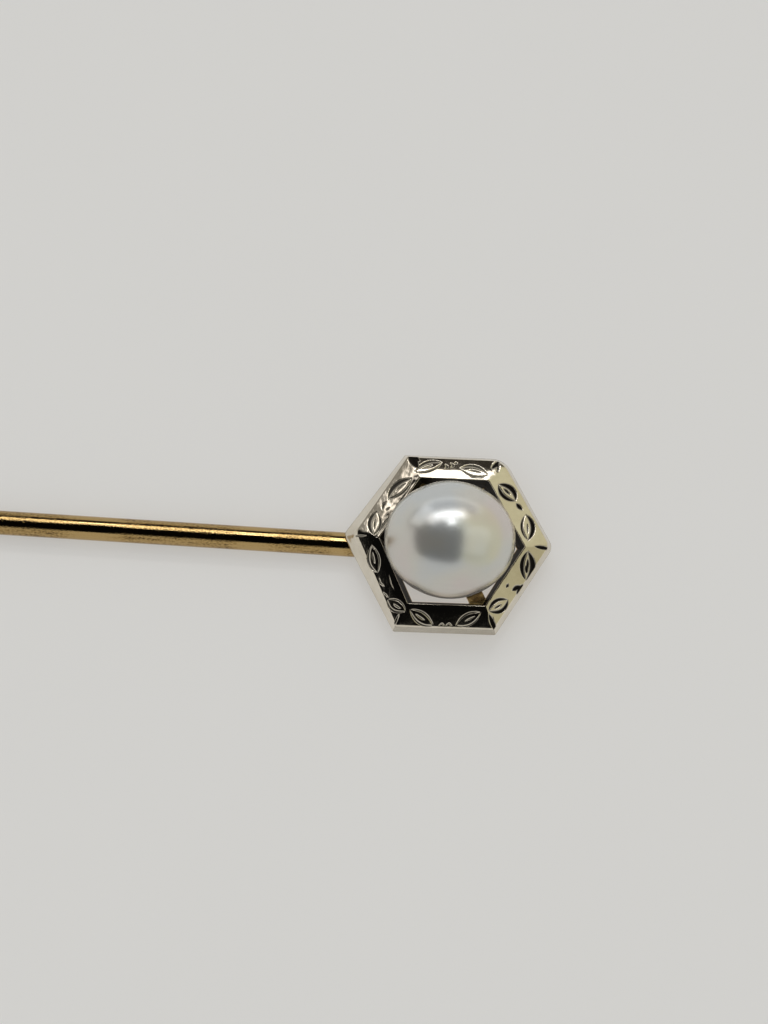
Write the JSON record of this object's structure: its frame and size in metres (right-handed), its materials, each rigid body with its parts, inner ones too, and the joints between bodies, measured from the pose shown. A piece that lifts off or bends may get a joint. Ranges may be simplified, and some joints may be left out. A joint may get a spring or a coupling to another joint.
{
  "type": "hat pin",
  "caption": "Short pearl-headed pin: a long tapered stem soldered under an open six-sided engraved head that holds a button pearl.",
  "frame": {"origin": "on the stem's axis, where its free length begins, under the head's nearest corner", "axes": "+X along the stem to the head, -X to the point, +Z the way that the head's face looks"},
  "size_m": [0.064, 0.0082, 0.0046],
  "materials": {
    "white_gold": "polished, hand-engraved, worn",
    "yellow_gold": "polished, with fine lengthwise scratches",
    "pearl": "pearl lustre",
    "solder": "satin",
    "cement": "matte"
  },
  "bodies": {
    "root": {"engraved_frame": "white_gold", "backing_ring": "yellow_gold", "pearl_bar": "yellow_gold", "bar_solder": "solder", "pearl_cup": "yellow_gold", "pearl_peg": "yellow_gold", "pearl_cement": "cement", "pearl": "pearl", "pin_stem": "yellow_gold", "stem_solder": "solder"}
  },
  "joints": []
}
